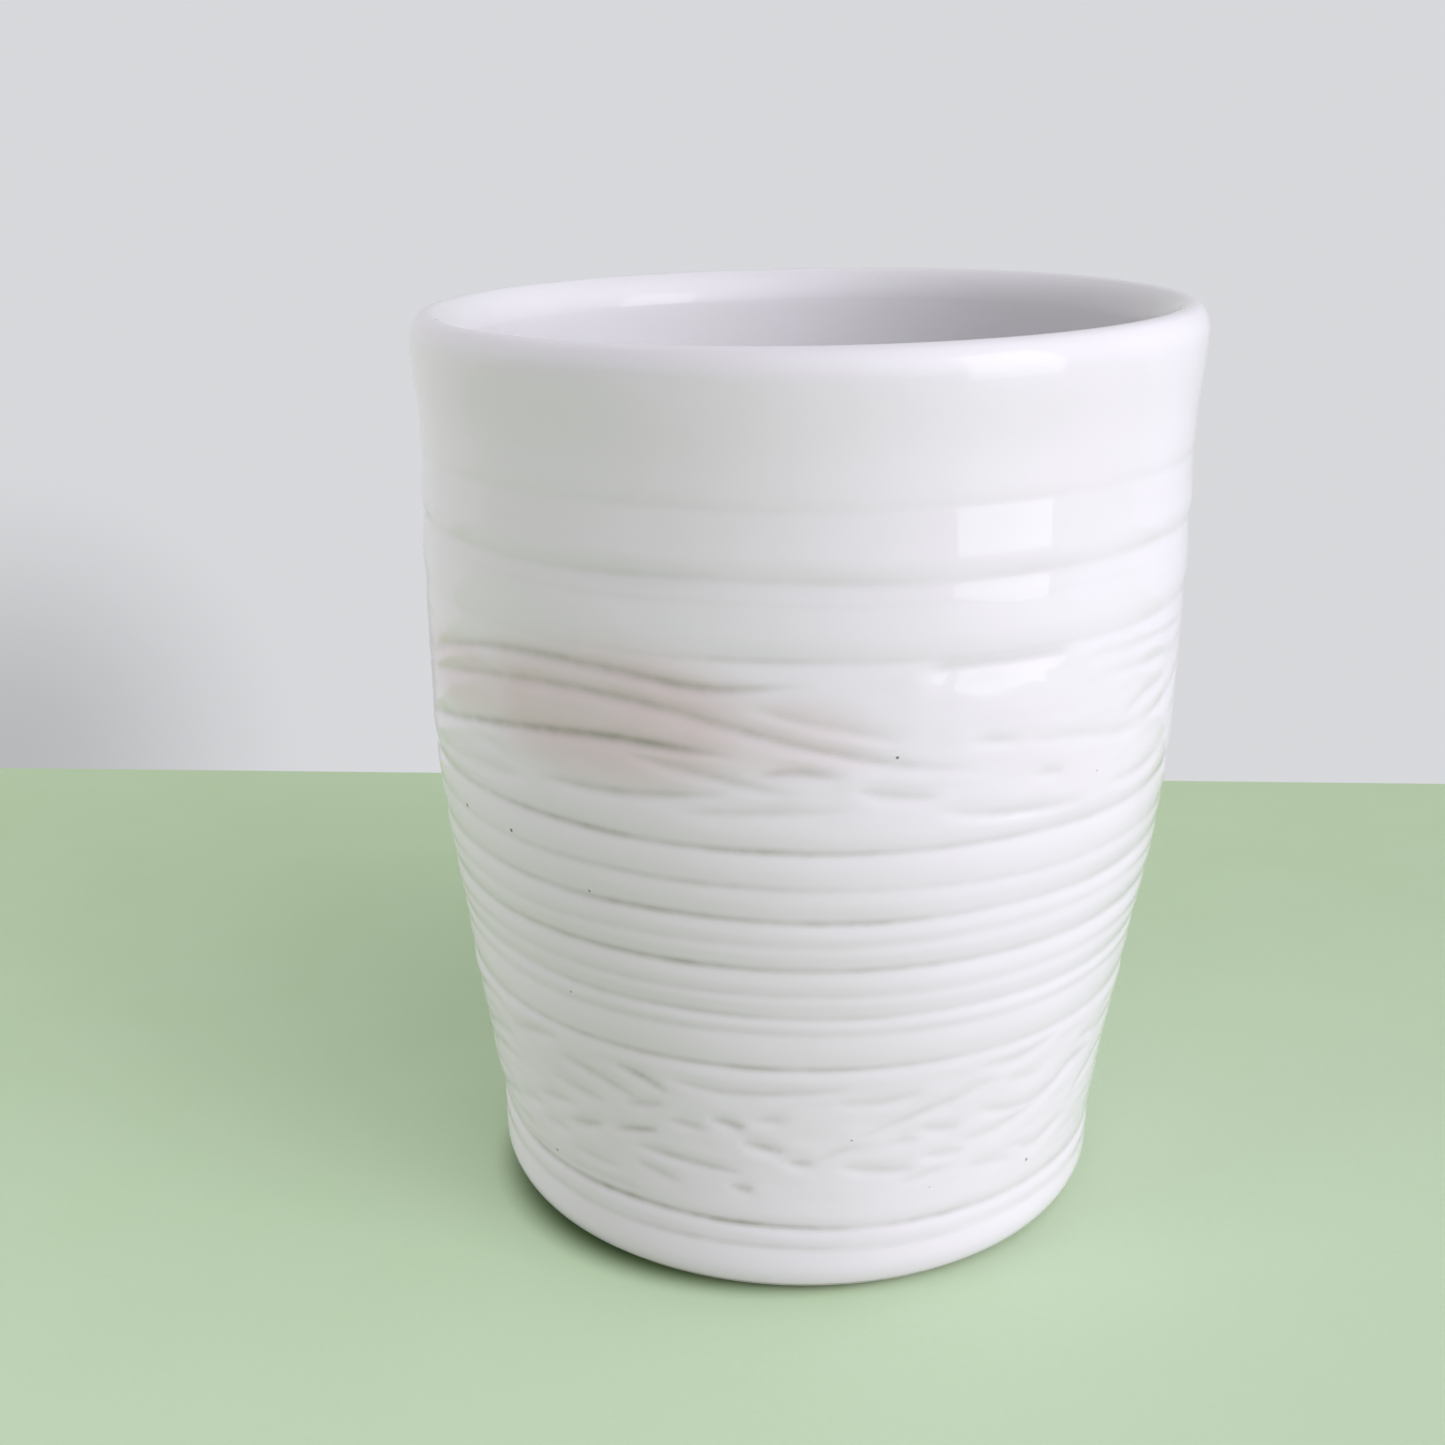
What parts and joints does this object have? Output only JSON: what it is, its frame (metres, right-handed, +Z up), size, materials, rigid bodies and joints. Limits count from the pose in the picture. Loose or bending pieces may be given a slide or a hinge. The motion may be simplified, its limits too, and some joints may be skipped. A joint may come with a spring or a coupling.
{
  "type": "pen holder cup",
  "caption": "Round white porcelain pen holder cup with a wound-string relief, smooth band under a rounded lip, and a bare foot ring.",
  "frame": {"origin": "centre of the resting plane under the foot ring", "axes": "+Z up along the cup's axis, through the open mouth; -Y faces the viewer; +X to the viewer's right"},
  "size_m": [0.0838, 0.0838, 0.1],
  "materials": {
    "porcelain": "bare fired porcelain, matte",
    "outside_glaze": "clear gloss glaze over white porcelain, greenish grey where it pools in the grooves",
    "inside_glaze": "clear gloss glaze over white porcelain"
  },
  "bodies": {
    "root": {"porcelain_body": "porcelain", "outer_glaze": "outside_glaze", "liner_glaze": "inside_glaze", "base_glaze": "inside_glaze"}
  },
  "joints": []
}
